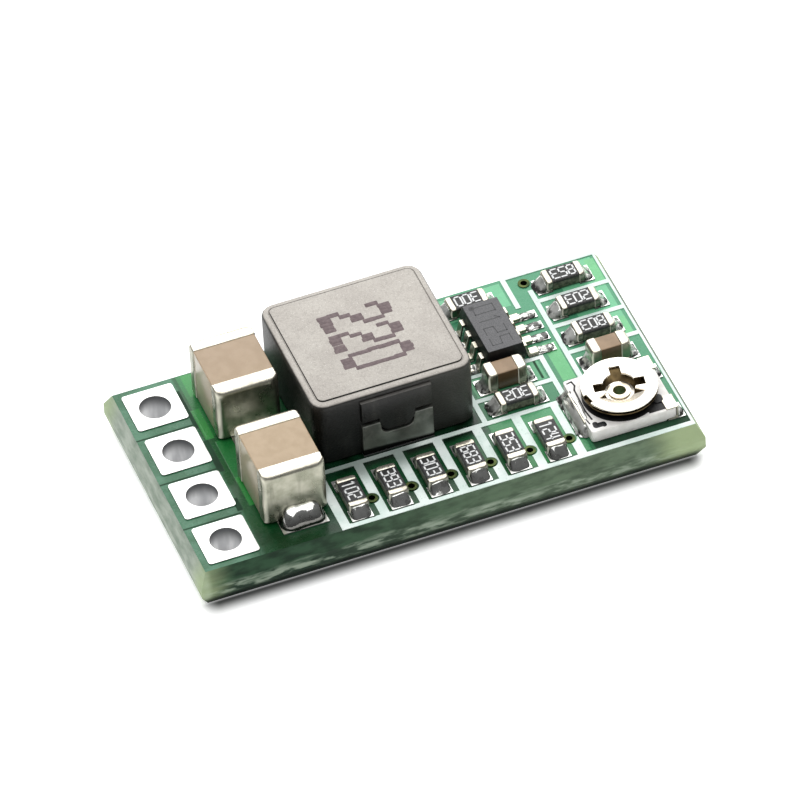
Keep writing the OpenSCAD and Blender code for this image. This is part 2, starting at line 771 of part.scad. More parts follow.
module regulator_body() {
    color("black") on_pads([ic_x, ic_y]) difference() {
        translate([0, 0, ic_lift]) waisted_block(ic_w, ic_l, ic_h - ic_lift, ic_inset, ic_lead_t);
        lead_shapes();
        die_shape();
    }
}

module regulator_leads() {
    color("silver") on_pads([ic_x, ic_y]) lead_shapes();
}

module regulator_die() {
    color("slategray") on_pads([ic_x, ic_y]) die_shape();
}

// ---------------------------------------------------------------- trimmer

module on_trimmer() {
    on_pads([trim_x, trim_y]) children();
}

// Side view of an end terminal that clips over the right edge of the base
function clip_side() = let (x = trim_l / 2) [
    [x - clip_l, 0], [x + clip_t, 0], [x + clip_t, trim_t + clip_t], [x - clip_l, trim_t + clip_t],
    [x - clip_l, trim_t], [x, trim_t], [x, clip_t], [x - clip_l, clip_t]
];

module clip_shapes() {
    for (s = [-1, 1]) translate([0, s * clip_y, 0]) rotate([90, 0, 0])
        linear_extrude(clip_w, center = true) polygon(clip_side());
}

// The wiper's terminal: a strip from the eyelet to the left edge, turned up there
module tail_shape() {
    x = trim_l / 2;
    difference() {
        union() {
            translate([-x - clip_t, -tail_w / 2, clip_t]) cube([x + clip_t, tail_w, clip_t]);
            cylinder(d = tail_w, h = 2 * clip_t);
            translate([-x - clip_t, -tail_w / 2, 0]) cube([clip_t, tail_w, trim_t]);
        }
        translate([0, 0, -1]) cylinder(d = tail_w + 1, h = 1 + clip_t);
        translate([0, 0, -1]) cylinder(r = stem_r, h = 2);
    }
}

module eyelet_shape() {
    difference() {
        union() {
            cylinder(r = stem_r, h = flange_z + wiper_t);
            cylinder(d = eyelet_d, h = clip_t);
            translate([0, 0, flange_z]) cylinder(d = eyelet_d, h = wiper_t);
        }
        translate([0, 0, -1]) cylinder(d = eyelet_bore, h = rotor_h + 2);
    }
}

module trimmer_base() {
    color("whitesmoke") on_trimmer() difference() {
        linear_extrude(trim_t) rounded_rect(trim_l, trim_w, pad_round);
        translate([0, 0, -1]) cylinder(r = stem_r, h = trim_t + 2);
        translate([0, 0, -1]) cylinder(d = tail_w, h = 1 + 2 * clip_t);
        translate([-trim_l, -tail_w / 2, -1]) cube([trim_l, tail_w, 1 + 2 * clip_t]);
        clip_shapes();
    }
}

module trimmer_track() {
    tab = trim_l / 2 - clip_l;
    color("black") on_trimmer() translate([0, 0, trim_t]) linear_extrude(track_t) {
        difference() {
            circle(track_out);
            circle(track_in);
            translate([0, -track_open / 2]) square([track_out + 1, track_open]);
            translate([tab, -track_out]) square([track_out, 2 * track_out]);
        }
        for (s = [-1, 1])
            translate([tab / 2 + tab / 4, s * clip_y]) square([tab / 2, track_tail], center = true);
    }
}

module trimmer_end_terminals() {
    color("silver") on_trimmer() clip_shapes();
}

module trimmer_wiper_terminal() {
    color("silver") on_trimmer() tail_shape();
}

module trimmer_eyelet() {
    color("wheat") on_trimmer() eyelet_shape();
}

// Section of a plate that rises from a hub at z0 to a ring at z1
function dish(r_in, hub_r, ring_r, z0, z1, t) = [
    [r_in, z0], [hub_r, z0], [ring_r, z1], [rotor_d / 2, z1],
    [rotor_d / 2, z1 + t], [ring_r - t / 2, z1 + t], [hub_r - t / 2, z0 + t], [r_in, z0 + t]
];

module trimmer_wiper() {
    contact_r = (track_in + track_out) / 2;
    color("burlywood") on_trimmer() {
        rotate_extrude() polygon(dish(hub_bore_r, hub_d / 2, bowl_r, wiper_z, ring_z, wiper_t));
        translate([-contact_r, 0, trim_t + track_t + run_gap / 2])
            cylinder(d = contact_w, h = ring_z - trim_t - track_t);
    }
}

// Sector of half angle a about the -Y direction
module sector(r, a, h) {
    linear_extrude(h) polygon([[0, 0], [-r * sin(a), -r * cos(a)], [0, -2 * r], [r * sin(a), -r * cos(a)]]);
}

module trimmer_driver() {
    top_z = rotor_h - driver_t;
    color("lightgray") on_trimmer() rotate([0, 0, slot_turn]) {
        difference() {
            translate([0, 0, top_z]) cylinder(d = rotor_d, h = driver_t);
            cylinder(r = opening_r, h = 2 * rotor_h);
            for (turn = [0, 90, 180]) rotate([0, 0, turn])
                translate([0, -slot_w / 2, 0]) cube([slot_r, slot_w, 2 * rotor_h]);
            intersection() {
                cylinder(r = bowl_r - driver_t, h = 2 * rotor_h);
                sector(rotor_d, tongue_a, 2 * rotor_h);
            }
            rotate([0, 0, rim_notch_turn]) translate([rotor_d / 2 - rim_notch_d, -rim_notch_w / 2, 0])
                cube([rotor_d, rim_notch_w, 2 * rotor_h]);
        }
        intersection() {
            rotate_extrude() polygon(dish(hub_bore_r, driver_hub_r, bowl_r, driver_z, top_z, driver_t));
            union() {
                sector(rotor_d, tongue_a, 2 * rotor_h);
                cylinder(r = driver_hub_r, h = driver_z + driver_t);
            }
        }
    }
}

// ----------------------------------------------------------------- solder

module solder_resistors() {
    color("gainsboro") for (p = resistor_places) on_pads(p)
        fillet_pair(chip_l, chip_w - 2 * solder_in, chip_foot, chip_rise);
}

module solder_capacitors() {
    color("gainsboro") for (p = mlcc_places) on_pads(p)
        fillet_pair(mlcc_l, mlcc_w - 2 * solder_in, chip_foot, chip_rise);
    color("gainsboro") for (p = cap_land_places) on_pads(p)
        fillet_pair(cap_l, cap_land_w - 2 * solder_in, cap_foot, cap_rise);
}

module solder_regulator() {
    color("gainsboro") on_pads([ic_x, ic_y]) {
        for (i = [0:3]) translate([0, (i - 1.5) * ic_pitch, 0])
            fillet_pair(ic_span, ic_lead_w, ic_toe, ic_lead_t);
    }
}

module solder_trimmer() {
    color("gainsboro") on_trimmer() {
        rotate([0, 0, 180]) translate([trim_side, 0, 0]) fillet(tail_w, tail_foot, tail_rise);
        for (s = [-1, 1]) translate([trim_side, s * clip_y, 0]) fillet(clip_w, clip_foot, clip_rise);
    }
}

// ------------------------------------------------------------------ nodes

wiring_board();
for (i = [1:terminal_n]) terminal(i - 1);
vias();
lands();
jumper_pads();
print_top();
print_bottom();
inductor_core();
inductor_coil();
inductor_strap(0);  // inductor_strap_front
inductor_strap(180);  // inductor_strap_rear
large_capacitor_body(0);  // capacitor_front_body
large_capacitor_ends(0);  // capacitor_front_ends
large_capacitor_body(1);  // capacitor_rear_body
large_capacitor_ends(1);  // capacitor_rear_ends
for (i = [1:len(mlcc_places)]) {
    small_capacitor_body(i - 1);
    small_capacitor_ends(i - 1);
}
for (i = [1:resistor_n]) {
    resistor_body(i - 1);
    resistor_ends(i - 1);
}
regulator_body();
regulator_leads();
regulator_die();
trimmer_base();
trimmer_track();
trimmer_end_terminals();
trimmer_wiper_terminal();
trimmer_eyelet();
trimmer_wiper();
trimmer_driver();
solder_resistors();
solder_capacitors();
solder_regulator();
solder_trimmer();
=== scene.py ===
"""Buck converter module: looks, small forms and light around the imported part, in metres in its frame."""
import json
import random
from math import atan2, cos, hypot, pi, radians, sin

import bpy
from mathutils import Matrix, Vector


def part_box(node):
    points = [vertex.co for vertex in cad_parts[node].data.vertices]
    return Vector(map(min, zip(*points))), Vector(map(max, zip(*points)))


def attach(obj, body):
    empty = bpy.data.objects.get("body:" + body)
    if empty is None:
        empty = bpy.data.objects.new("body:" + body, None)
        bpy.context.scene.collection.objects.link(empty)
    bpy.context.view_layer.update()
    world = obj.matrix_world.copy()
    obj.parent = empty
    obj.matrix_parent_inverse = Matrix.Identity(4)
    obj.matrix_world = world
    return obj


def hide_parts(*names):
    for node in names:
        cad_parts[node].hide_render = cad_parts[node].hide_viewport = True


MM = 0.001
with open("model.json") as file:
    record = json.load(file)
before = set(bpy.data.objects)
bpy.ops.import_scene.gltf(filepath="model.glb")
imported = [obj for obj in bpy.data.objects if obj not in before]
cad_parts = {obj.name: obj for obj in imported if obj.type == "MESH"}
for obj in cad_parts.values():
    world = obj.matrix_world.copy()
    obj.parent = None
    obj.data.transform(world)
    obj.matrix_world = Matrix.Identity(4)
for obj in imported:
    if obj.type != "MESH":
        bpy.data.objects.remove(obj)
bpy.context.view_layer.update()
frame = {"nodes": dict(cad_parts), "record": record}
scene = bpy.context.scene
random.seed(11)

BODY = "module"


# ------------------------------------------------------------------ camera

def camera():
    """Long lens, from the front left and above."""
    az, el, roll = radians(-18.631), radians(43.963), radians(-3.518)
    back = Vector((sin(az) * cos(el), -cos(az) * cos(el), sin(el)))
    side = Vector((0, 0, 1)).cross(back).normalized()
    up = back.cross(side)
    right = side * cos(roll) + up * sin(roll)
    top = up * cos(roll) - side * sin(roll)
    target = Vector((0.005, 0.0, 1.6))
    distance, shift_left, shift_up = 335.605, 0.103, 0.360
    place = (target - right * shift_left + top * shift_up + back * distance) * MM
    data = bpy.data.cameras.new("camera")
    data.lens = 405
    data.sensor_width = 36
    data.clip_start = 0.01
    data.clip_end = 20
    cam = bpy.data.objects.new("camera", data)
    turn = Matrix((right, top, back)).transposed().to_4x4()
    cam.matrix_world = Matrix.Translation(place) @ turn
    scene.collection.objects.link(cam)
    scene.camera = cam


camera()


# ----------------------------------------------------------------- shaders

def linear(code):
    """Linear colour of a six-digit code."""
    parts = [int(code[i:i + 2], 16) / 255 for i in (0, 2, 4)]
    return [c / 12.92 if c <= 0.04045 else ((c + 0.055) / 1.055) ** 2.4 for c in parts]


class Value:
    """One output in a shader tree. Arithmetic on it adds Math nodes."""

    def __init__(self, look, socket):
        self.look = look
        self.socket = socket

    def math(self, kind, *others):
        return self.look.add("ShaderNodeMath", {"operation": kind}, [self, *others])

    def __add__(self, x):
        return self.math("ADD", x)

    def __sub__(self, x):
        return self.math("SUBTRACT", x)

    def __rsub__(self, x):
        return self.look.add("ShaderNodeMath", {"operation": "SUBTRACT"}, [x, self])

    def __mul__(self, x):
        return self.math("MULTIPLY", x)

    __radd__ = __add__
    __rmul__ = __mul__

    def most(self, x):
        return self.math("MAXIMUM", x)

    def size(self):
        return self.math("ABSOLUTE")

    def step(self, low, high):
        """0 at low, 1 at high, smooth between; low may be the larger."""
        settings = {"interpolation_type": "SMOOTHSTEP", "clamp": True}
        inputs = {"Value": self, "From Min": low, "From Max": high}
        return self.look.add("ShaderNodeMapRange", settings, inputs)


class Look:
    """A procedural material around one Principled shader."""

    def __init__(self, name, **fixed):
        self.material = bpy.data.materials.new(name)
        self.material.use_nodes = True
        self.tree = self.material.node_tree
        self.shader = self.tree.nodes["Principled BSDF"]
        for key, value in fixed.items():
            socket = self.shader.inputs[key.replace("_", " ")]
            socket.default_value = (*linear(value), 1) if isinstance(value, str) else value
        here = self.add("ShaderNodeTexCoord", out="Object")
        inputs = {"Vector": here, "Scale": 1 / MM}
        self.place = self.add("ShaderNodeVectorMath", {"operation": "SCALE"}, inputs)
        self.parts = None

    def add(self, kind, settings=None, inputs=None, out=0):
        """Adds a node: settings first, then its socket values and links. Returns one output."""
        node = self.tree.nodes.new(kind)
        for key, value in (settings or {}).items():
            setattr(node, key, value)
        pairs = inputs.items() if isinstance(inputs, dict) else enumerate(inputs or [])
        for key, value in pairs:
            if isinstance(value, Value):
                self.tree.links.new(value.socket, node.inputs[key])
            else:
                node.inputs[key].default_value = value
        return Value(self, node.outputs[out])

    def axis(self, name):
        """The place along X, Y or Z, in millimetres."""
        if self.parts is None:
            split = self.add("ShaderNodeSeparateXYZ", None, [self.place])
            self.parts = {k: Value(self, split.socket.node.outputs[k]) for k in "XYZ"}
        return self.parts[name]

    def facing(self, name):
        """The part of the surface's own normal along X, Y or Z."""
        found = self.add("ShaderNodeTexCoord", out="Normal")
        split = self.add("ShaderNodeSeparateXYZ", None, [found])
        return Value(self, split.socket.node.outputs[name])

    def noise(self, scale, detail=2, stretch=None):
        """Noise with that many features per millimetre."""
        at = self.place
        if stretch:
            at = self.add("ShaderNodeVectorMath", {"operation": "MULTIPLY"}, [at, stretch])
        return self.add("ShaderNodeTexNoise", None, {"Vector": at, "Scale": scale, "Detail": detail})

    def cells(self, scale):
        """Distance to the nearest of that many points per millimetre."""
        return self.add("ShaderNodeTexVoronoi", None, {"Vector": self.place, "Scale": scale}, "Distance")

    def mix(self, factor, a, b):
        """Colour between a and b, given as codes or values."""
        a, b = ((*linear(c), 1) if isinstance(c, str) else c for c in (a, b))
        # a Mix node's colour sockets share their names with its number sockets, so they go by place
        return self.add("ShaderNodeMix", {"data_type": "RGBA"}, {0: factor, 6: a, 7: b}, 2)

    def box(self, x0, y0, x1, y1, soft=0.04):
        """1 inside a rectangle of the board's top, given in millimetres from its left and front edges."""
        dx = (self.axis("X") - (x0 + x1) / 2 + HALF[0]).size() - (x1 - x0) / 2
        dy = (self.axis("Y") - (y0 + y1) / 2 + HALF[1]).size() - (y1 - y0) / 2
        return dx.most(dy).step(soft / 2, -soft / 2)

    def boxes(self, areas):
        """1 inside any of the rectangles."""
        found = self.box(*areas[0])
        for corners in areas[1:]:
            found = found.most(self.box(*corners))
        return found

    def bump(self, height, depth):
        """Bumps of that depth, in millimetres."""
        inputs = {"Height": height, "Distance": depth * MM, "Strength": 1.0}
        self.set("Normal", self.add("ShaderNodeBump", None, inputs))

    def set(self, socket, value):
        """Links a value to one of the shader's own sockets."""
        self.tree.links.new(value.socket, self.shader.inputs[socket])


# heights of the board's top and of its lands, and half the length and width of its whole faces
BOARD_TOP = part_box("wiring_board")[1].z / MM
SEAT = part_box("lands")[1].z / MM
HALF = (9.715, 5.08)


# --------------------------------------------------------------- materials

def mask_look():
    """Green mask over copper on top and below, bare laminate on the broken edges."""
    look = Look("solder_mask", IOR=1.45, Specular_IOR_Level=0.35, Coat_Roughness=0.1)
    x, y, z = look.axis("X"), look.axis("Y"), look.axis("Z")
    flat = look.facing("Z").size().step(0.9, 0.97)
    # copper under the mask, with dark gaps between its areas, and painted shade on the strip before the
    # trimmer
    strip = look.box(-0.3, -0.3, 2.35, 10.5, 0.15)
    copper = look.boxes(TRACE_AREAS)
    gaps_and_shade = look.boxes(GAPS_AND_SHADE)
    bright = look.boxes(BRIGHT_AREAS)
    # painted reflection of the rear softbox: the mask is painted paler towards the right rear
    painted_sheen = (x * 0.06 + y * 0.07 + 0.3).step(0.0, 1.0)
    cloud = look.noise(1.3, 3).step(0.35, 0.7)
    mask = look.mix(painted_sheen, "0C4A1E", "4C9670")
    mask = look.mix(copper, mask, look.mix(painted_sheen, "1F6E33", "70BD90"))
    mask = look.mix(strip * (painted_sheen * 0.5 + 0.4), mask, look.mix(cloud, "3F7A5C", "6C9F87"))
    mask = look.mix(bright, mask, look.mix(painted_sheen, "2F8A3C", "72C087"))
    mask = look.mix(gaps_and_shade * 0.95, mask, look.mix(painted_sheen, "10301B", "12331F"))
    # soft shade along the front edge, along the front row and before the inductor
    mask = look.mix(look.box(2.2, -0.5, 5.6, 1.3, 0.9) * 0.75, mask, "04280F")
    mask = look.mix(look.box(4.9, 0.2, 10.6, 2.9, 1.2) * 0.6, mask, "062E1C")
    mask = look.mix(look.box(5.0, 2.7, 12.2, 3.9, 0.5) * 0.95, mask, "020804")
    mask = look.mix(cloud * 0.12, mask, "2F7F55")
    # broken edge: green, paler to the right and at the corners, with a torn line along its middle,
    # light on the left side, and with painted shade along the foot of the front
    long = look.noise(1.0, 4, (0.7, 0.7, 5))
    fine = look.noise(4, 4, (0.3, 0.3, 1.0))
    web = (z - BOARD_TOP * 0.45 - (long - 0.5) * 0.9).size().step(0.42, 0.04)
    edge = look.mix(fine.step(0.35, 0.65), "17301F", "2E4E36")
    edge = look.mix(x.step(-7, 9) * (fine.step(0.2, 0.7) * 0.4 + 0.32), edge, "82957A")
    edge = look.mix(web * fine.step(0.42, 0.62) * 0.75, edge, "A3B19E")
    left = x.step(-9.5, -9.8)
    edge = look.mix(left * 0.85, edge, look.mix(fine.step(0.3, 0.7), "93A192", "BCC4B8"))
    corner = (x.size() + long * 0.8 + x.step(0, 9) * 1.2).step(9.0, 10.8) * y.size().step(3.9, 5.2)
    edge = look.mix(corner * 0.9, edge, "A9BB8E")
    # painted shade, darkest along the foot of the front face near the floor
    edge = look.mix(y.step(-4.9, -5.1) * z.step(0.75, 0.1) * 0.85, edge, "081A10")
    look.set("Base Color", look.mix(flat, edge, mask))
    look.set("Roughness", flat * -0.4 + 0.62 + look.noise(4) * 0.1 + gaps_and_shade * 0.4)
    look.set("Coat Weight", flat * (1 - gaps_and_shade) * 0.15)
    rough_edge = (1 - flat) * (fine * 0.7 + web * 0.3)
    look.bump(copper * 0.1 + rough_edge * 1.1 + look.noise(2.2, 2) * 0.12, 0.08)
    return look.material


def tin_look():
    """Bright tin, slightly uneven. The walls of the holes are duller, with painted shade at their top and
    lower down and a painted glow between.
    """
    look = Look("tinned_pad", Emission_Strength=0.24)
    cloud = look.noise(2.5, 3)
    wall = look.facing("Z").size().step(0.6, 0.2)
    z = look.axis("Z")
    streak = look.noise(2.2, 2, (1, 1, 0.2)).step(0.3, 0.7)
    # painted light in the holes: the walls are bright in their middle, painted dark at the top and darker
    # lower down
    barrel = look.mix(streak, "C9CACC", "FFFFFF")
    barrel = look.mix(z.step(BOARD_TOP, BOARD_TOP * 0.55), "77787A", barrel)
    barrel = look.mix(z.step(BOARD_TOP * 0.45, 0.1) * 0.5, barrel, "77787A")
    face = look.mix(cloud.step(0.3, 0.8), "F4F4F0", "DEDFDC")
    look.set("Base Color", look.mix(wall, face, barrel))
    look.set("Metallic", 1 - wall * 0.5)
    # painted glow on the lower part of the walls, fading towards the top, for light through the hole
    lit = wall * z.step(BOARD_TOP, BOARD_TOP * 0.5) * (streak * 0.4 + 0.6)
    look.set("Emission Color", look.mix(lit, "000000", "FFFFFF"))
    look.set("Roughness", cloud * 0.16 + wall * 0.15 + 0.22)
    look.bump(look.noise(4, 3), 0.006)
    return look.material


def cup_look(name, light, dark):
    """Fired end metal of a chip, in painted light: creamy above, greyish and faintly streaked on its
    upright faces.
    """
    look = Look(name, Metallic=0.9, Emission_Strength=0.4)
    cloud = look.noise(1.6, 3)
    # painted glint: the front left corner glows a little
    corner = look.facing("X").step(-0.25, -0.6) * look.facing("Y").step(-0.3, -0.65)
    look.set("Emission Color", look.mix(corner, "000000", "DAD7C8"))
    # painted light and shade: one metal, creamy on top where the light falls and greyish on its upright
    # faces
    up = look.facing("Z").step(0.25, 0.9)
    streak = look.noise(3.2, 4, (1, 1, 0.12)).step(0.5, 0.72)
    wall = look.mix(cloud.step(0.35, 0.7), light, dark)
    wall = look.mix(streak * 0.55, wall, "6F7062")
    blot = look.noise(5, 3).step(0.52, 0.66)
    top = look.mix(blot * 0.5, look.mix(cloud.step(0.3, 0.75), "E4DFD0", "CFC8B6"), dark)
    look.set("Base Color", look.mix(up, wall, top))
    look.set("Roughness", cloud * 0.18 + 0.2)
    look.bump(look.noise(5, 3), 0.004)
    return look.material


def ink_look():
    """White print, slightly worn, in shade before the inductor."""
    look = Look("white_ink", Roughness=0.6, Specular_IOR_Level=0.3)
    worn = look.noise(9, 4)
    cloud = look.noise(0.9, 2).step(0.35, 0.7)
    face = look.mix(cloud, "D6E6DF", "ECF5F1")
    face = look.mix(look.box(4.4, 2.3, 9.4, 3.5, 0.9) * 0.72, face, "5A6A62")
    look.set("Base Color", look.mix(worn.step(0.6, 0.75) * 0.4, face, "8FB3A0"))
    look.bump(worn, 0.012)
    return look.material


def core_look():
    """Pressed iron: light speckled top, near-black sides."""
    look = Look("pressed_iron", IOR=1.5, Specular_IOR_Level=0.4)
    x, z = look.axis("X"), look.axis("Z")
    top = look.facing("Z").step(0.55, 0.9) * z.step(SEAT + 2.6, SEAT + 2.75)
    speck = look.cells(11)
    spark = look.noise(26, 2).step(0.62, 0.74)
    cloud = look.noise(0.8, 3)
    face = look.mix(cloud.step(0.3, 0.7), "A9A39C", "B8B3AB")
    face = look.mix(look.noise(9, 4).step(0.45, 0.7) * 0.5, face, "968F88")
    face = look.mix(look.noise(20, 3).step(0.35, 0.65) * 0.3, face, "D0CAC1")
    face = look.mix(look.noise(15, 2).step(0.6, 0.7) * 0.35, face, "7D766F")
    face = look.mix(spark * 0.7, face, "E6E2DC")
    smear = look.noise(1.6, 4, (1, 1, 0.5)).step(0.5, 0.78)
    side = look.mix(smear, "0A0A09", "302F2C")
    # painted light: the sides grow lighter towards the top and to the right
    side = look.mix(z.step(3.9, 4.6) * 0.35, side, "3E3C39")
    side = look.mix(x.step(-1.8, 2.4) * 0.45, side, "46463F")
    look.set("Base Color", look.mix(top, side, face))
    look.set("Roughness", top * 0.12 + 0.42 - spark * 0.15)
    look.bump(look.noise(12, 4) * 0.7 + speck * 0.3, 0.02)
    return look.material


def strap_look():
    """Dull strap metal, with painted shadow along its foot."""
    look = Look("strap_metal", Metallic=0.85)
    cloud = look.noise(1.8, 4)
    low = look.axis("Z").step(3.0, 1.8)
    face = look.mix(cloud.step(0.35, 0.7), "62645F", "8E9189")
    # painted shadow: near-black along the foot, under the core's lower edge
    foot = (look.axis("Z") + look.axis("X") * 0.06).step(1.88, 1.76)
    look.set("Base Color", look.mix(foot, look.mix(low * 0.6, face, "9EA199"), "0B0B0A"))
    look.set("Roughness", cloud * 0.2 + 0.34)
    look.bump(look.noise(4, 4, (1, 1, 0.4)), 0.015)
    return look.material


def ceramic_look(name, top, dark, side):
    """Fired ceramic, whose top is slightly pitted and has painted shade towards the rear, and whose walls
    have painted shade near their foot.
    """
    look = Look(name, IOR=1.55)
    cloud = look.noise(2, 3)
    up = look.facing("Z").step(0.3, 0.8)
    low = look.axis("Z").step(SEAT + 2.2, SEAT)
    shade = look.mix(cloud.step(0.35, 0.7), top, dark)
    # painted shade on the top towards the rear
    shade = look.mix(look.axis("Y").step(-1.5, 3.5) * 0.3, shade, "8A7362")
    # painted shade: the walls blend towards a dim grey near their foot
    wall = look.mix(low * 0.3, side, "6E6A58")
    pits = look.noise(24, 2).step(0.66, 0.74)
    look.set("Base Color", look.mix(pits * 0.2, look.mix(up, wall, shade), "5A4638"))
    look.set("Roughness", cloud * 0.1 + up * 0.18 + 0.2)
    look.bump(look.noise(16, 3), 0.003)
    return look.material


def chip_look():
    """Black glass over a white ceramic block, whose sides show olive in the board's light."""
    look = Look("resistor_body", IOR=1.5, Specular_IOR_Level=0.35)
    z = look.axis("Z")
    glass = z.step(SEAT + 0.3, SEAT + 0.36)
    cloud = look.noise(6, 3)
    side = look.mix(cloud.step(0.35, 0.65), "3F4233", "6B6E5C")
    top = look.mix(cloud.step(0.3, 0.7), "1F1F20", "333331")
    look.set("Base Color", look.mix(glass, side, top))
    look.set("Roughness", cloud * 0.15 + 0.32)
    look.bump(look.noise(10, 3), 0.008)
    return look.material


def mould_look():
    """Finely grained black mould, greyer on top."""
    look = Look("black_mould", IOR=1.5, Specular_IOR_Level=0.4)
    grain = look.noise(22, 3)
    up = look.facing("Z").step(0.6, 0.95)
    top = look.mix(grain.step(0.35, 0.65), "4E4E50", "5F5F61")
    look.set("Base Color", look.mix(up, "0B0B0C", top))
    look.set("Roughness", grain * 0.1 + 0.4)
    look.bump(grain, 0.01)
    return look.material


def solder_look(name="solder", smear=0.35, stretch=(1, 1, 1), front="3E3B37", dull=0):
    """Bright solder, like a rippled mirror, with a painted darker reflection on its slopes and dark,
    duller streaks.
    """
    look = Look(name)
    cloud = look.noise(3, 3)
    behind = look.axis("Y").step(-2.3, -1.6)
    streak = look.noise(3.5, 3, stretch).step(0.5, 0.62)
    slope = look.facing("Z").step(0.8, 0.3)
    flat = look.mix(cloud.step(0.3, 0.7), "F0F0EC", "D4D5D0")
    flat = look.mix(streak * smear, flat, "3E3F39")
    # painted reflection: the slopes are darker, darkest towards the front
    face = look.mix(slope * 0.85, flat, look.mix(behind, front, "A2A39B"))
    foot = look.axis("Z").step(SEAT + 0.24, SEAT + 0.08) * look.noise(4.5, 2).step(0.42, 0.56)
    # behind the front and on smeared solder: less metallic, with dark patches along the foot
    worn = behind.most(dull)
    look.set("Base Color", look.mix(foot * worn * 0.9, face, "141312"))
    look.set("Metallic", 1 - worn * 0.4)
    look.set("Roughness", cloud * 0.14 + streak * 0.1 + 0.03)
    look.bump(look.noise(4, 3), 0.008)
    return look.material


def metal_look(name, a, b, rough):
    """Metal that varies between two colours."""
    look = Look(name, Metallic=1.0)
    cloud = look.noise(3, 3)
    look.set("Base Color", look.mix(cloud.step(0.3, 0.7), a, b))
    look.set("Roughness", cloud * 0.14 + rough)
    look.bump(look.noise(6, 3), 0.004)
    return look.material


def rotor_look():
    """Bright plate, with a painted glow on its bent tongue so that it stays light too."""
    look = Look("rotor_metal", Metallic=1.0, Emission_Strength=0.5)
    cloud = look.noise(2, 3)
    up = look.facing("Z")
    look.set("Base Color", look.mix(cloud.step(0.3, 0.7), "FBF6EC", "EDE6DA"))
    # painted glow on the sloping faces of the tongue
    look.set("Emission Color", look.mix(up.step(0.5, 0.65) * up.step(0.97, 0.85), "000000", "FBF2E2"))
    look.set("Roughness", cloud * 0.14 + 0.2)
    look.bump(look.noise(4, 3), 0.006)
    return look.material


def plain_look(name, a, b, rough, patch=4, depth=0.006):
    """Anything that isn't metal and varies between two colours."""
    look = Look(name, IOR=1.5)
    cloud = look.noise(patch, 3)
    look.set("Base Color", look.mix(cloud.step(0.3, 0.7), a, b))
    look.set("Roughness", cloud * 0.15 + rough)
    look.bump(look.noise(patch * 3, 3), depth)
    return look.material


# copper under the mask, its dark gaps, whose last area is painted shade before the trimmer, and its
# brightest parts, in millimetres from the top's left and front edges: left, front, right, rear
TRACE_AREAS = [
    (2.5, 6.6, 3.0, 10.3),
    (2.7, 3.9, 5.5, 6.3),
    (12.3, 0.3, 15.4, 3.1),
    (12.5, 4.5, 15.3, 5.65),
    (17.6, 5.45, 19.2, 10.0),
    (12.0, 8.7, 15.5, 10.0),
]
GAPS_AND_SHADE = [
    (2.25, 4.7, 2.5, 6.5),
    (2.2, 2.5, 2.42, 3.2),
    (2.25, 7.2, 2.4, 9.4),
    (-0.3, 2.34, 2.3, 2.42),
    (-0.3, 4.88, 2.3, 4.96),
    (-0.3, 7.42, 2.3, 7.5),
    (14.35, 4.55, 14.45, 5.6),
    (15.1, 4.55, 15.2, 5.6),
    # painted shade on the strip in front of the trimmer's base
    (15.55, 0.15, 19.4, 0.9),
]
BRIGHT_AREAS = [
    (2.68, 8.9, 3.15, 10.1),
    (2.42, 6.5, 2.75, 8.2),
    (2.7, 2.6, 3.0, 4.2),
    (15.78, 4.1, 16.3, 6.25),
    (18.9, 5.45, 19.2, 6.5),
    (18.9, 8.6, 19.3, 9.9),
]

LOOKS = {
    "solder_mask": mask_look(),
    "tinned_pad": tin_look(),
    "via_copper": metal_look("via_copper", "565F38", "35462C", 0.35),
    "white_ink": ink_look(),
    "pressed_iron": core_look(),
    "copper_wire": metal_look("copper_wire", "B8693A", "8E4A26", 0.3),
    "strap_metal": strap_look(),
    "tan_ceramic": ceramic_look("tan_ceramic", "AF987A", "A68F70", "ADA188"),
    "brown_ceramic": ceramic_look("brown_ceramic", "94795A", "836A4C", "5A4022"),
    "end_metal": cup_look("end_metal", "8E8F7E", "B5B3A3"),
    "chip_metal": cup_look("chip_metal", "55564C", "8B8B80"),
    "resistor_body": chip_look(),
    "black_mould": mould_look(),
    "silicon": plain_look("silicon", "4A4E58", "5A5E68", 0.3),
    "white_ceramic": plain_look("white_ceramic", "F4F2EE", "E6E3DE", 0.45, 3, 0.006),
    "black_track": plain_look("black_track", "0B0B0C", "1A1A1B", 0.45, 6),
    # gold_metal is darkened as painted shade, for the wiper seen in shadow under the driver
    "gold_metal": metal_look("gold_metal", "67573B", "3F3423", 0.3),
    "rotor_metal": rotor_look(),
    "solder": solder_look(),
    "smeared_solder": solder_look("smeared_solder", 0.9, (1, 0.3, 1), "B4B5AE", 1),
    "eyelet_metal": metal_look("eyelet_metal", "F0E6D2", "E2D3B8", 0.25),
    "brown_ink": plain_look("brown_ink", "5A4A4C", "6E5E5F", 0.5, 8, 0.01),
    "white_figures": plain_look("white_figures", "D9DBDC", "F0F1F0", 0.5, 12),
    "faint_figures": plain_look("faint_figures", "2B2B2D", "343436", 0.4, 8),
}

# nodes whose look isn't the one of their slot
OWN_LOOK = {"trimmer_eyelet": "eyelet_metal"}

for part in frame["record"]["subparts"]:
    node = frame["nodes"][part["node"]]
    node.data.materials.clear()
    node.data.materials.append(LOOKS[OWN_LOOK.get(part["node"], part["material_slot"])])


# ------------------------------------------------------------------- forms

def at(x=0.0, y=0.0, z=0.0, turn=0.0):
    """A place on the board in millimetres, turned about +Z by degrees."""
    return Matrix.Translation((x, y, z)) @ Matrix.Rotation(radians(turn), 4, "Z")


def outline(l, w, r, steps=4):
    """Rectangle with round corners, anticlockwise."""
    found = []
    for sx, sy, start in ((1, 1, 0), (-1, 1, 90), (-1, -1, 180), (1, -1, 270)):
        for k in range(steps + 1):
            a = radians(start + 90 * k / steps)
            found.append((sx * (l / 2 - r) + r * cos(a), sy * (w / 2 - r) + r * sin(a)))
    return found


